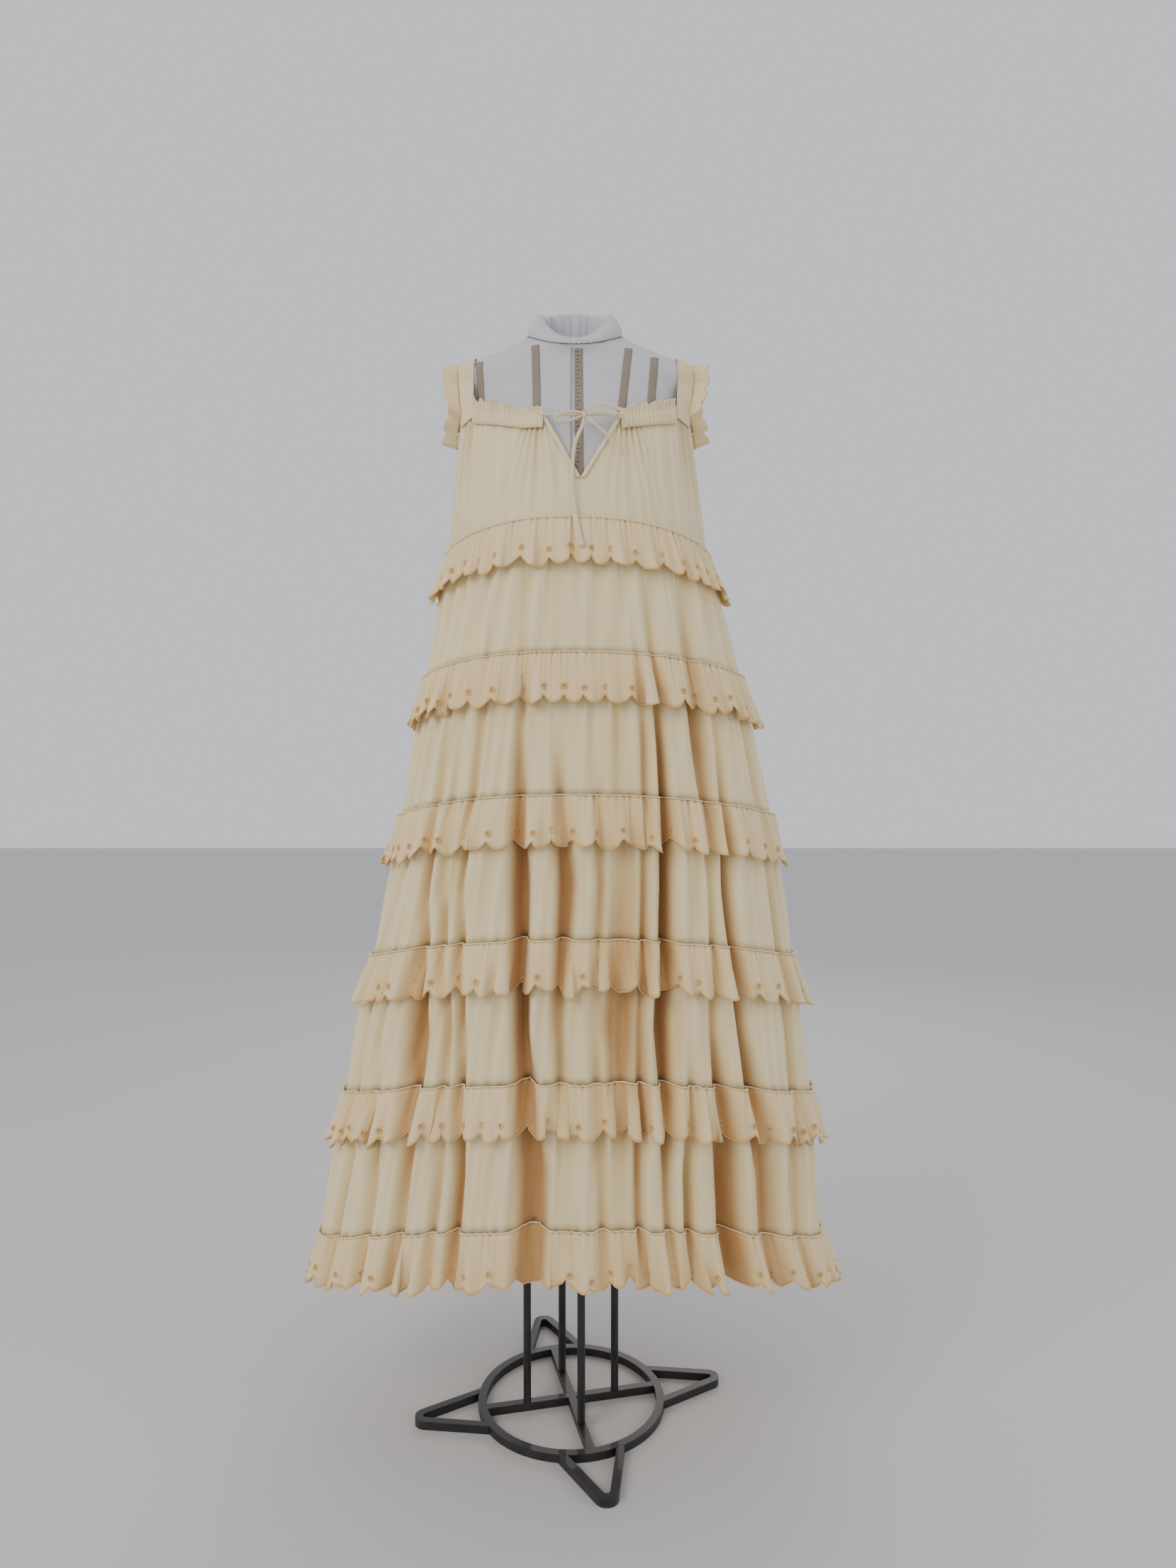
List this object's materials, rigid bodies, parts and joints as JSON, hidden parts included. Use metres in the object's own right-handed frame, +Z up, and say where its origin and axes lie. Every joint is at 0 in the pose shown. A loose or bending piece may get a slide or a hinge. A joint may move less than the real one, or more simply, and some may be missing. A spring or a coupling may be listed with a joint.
{
  "type": "tiered maxi dress on a dress form",
  "caption": "Sleeveless maxi dress with gathered tiers, scalloped ruffles and a tied V slit, worn on a limbless dress form with a crossed iron stand.",
  "frame": {"origin": "on the floor, at the crossing of the stand's two bars, in the plane of the bars' flat undersides", "axes": "+Z up the form, -Y towards the front of the dress, +X towards the viewer's right"},
  "size_m": [0.788, 0.4604, 1.6519],
  "materials": {
    "cotton": "thin crinkled cotton, matt",
    "ruffle_cotton": "thin cotton with a darker corded edge",
    "linen": "stretched plain linen cover, matt",
    "iron": "satin black paint"
  },
  "bodies": {
    "root": {"bodice_front": "cotton", "bodice_back": "cotton", "neck_band_front_left": "cotton", "neck_band_front_right": "cotton", "neck_band_back": "cotton", "slit_binding_left": "cotton", "slit_binding_right": "cotton", "strap_left": "cotton", "strap_right": "cotton", "armhole_ruffle_left": "ruffle_cotton", "armhole_ruffle_right": "ruffle_cotton", "tier_2": "cotton", "tier_3": "cotton", "tier_4": "cotton", "tier_5": "cotton", "tier_6": "cotton", "ruffle_1": "ruffle_cotton", "ruffle_2": "ruffle_cotton", "ruffle_3": "ruffle_cotton", "ruffle_4": "ruffle_cotton", "ruffle_5": "ruffle_cotton", "ruffle_6_hem": "ruffle_cotton", "drawstring_knot": "cotton", "drawstring_left": "cotton", "drawstring_right": "cotton", "bow_loop_left": "cotton", "bow_loop_right": "cotton", "tail_long": "cotton", "tail_short": "cotton", "form_torso": "linen", "form_collar": "linen", "form_arm_cap_left": "linen", "form_arm_cap_right": "linen", "base_ring": "iron", "cross_bar_long": "iron", "cross_bar_front": "iron", "cross_bar_back": "iron", "foot_right": "iron", "foot_back": "iron", "foot_left": "iron", "foot_front": "iron", "upright_right": "iron", "upright_back": "iron", "upright_left": "iron", "upright_front": "iron"}
  },
  "joints": []
}
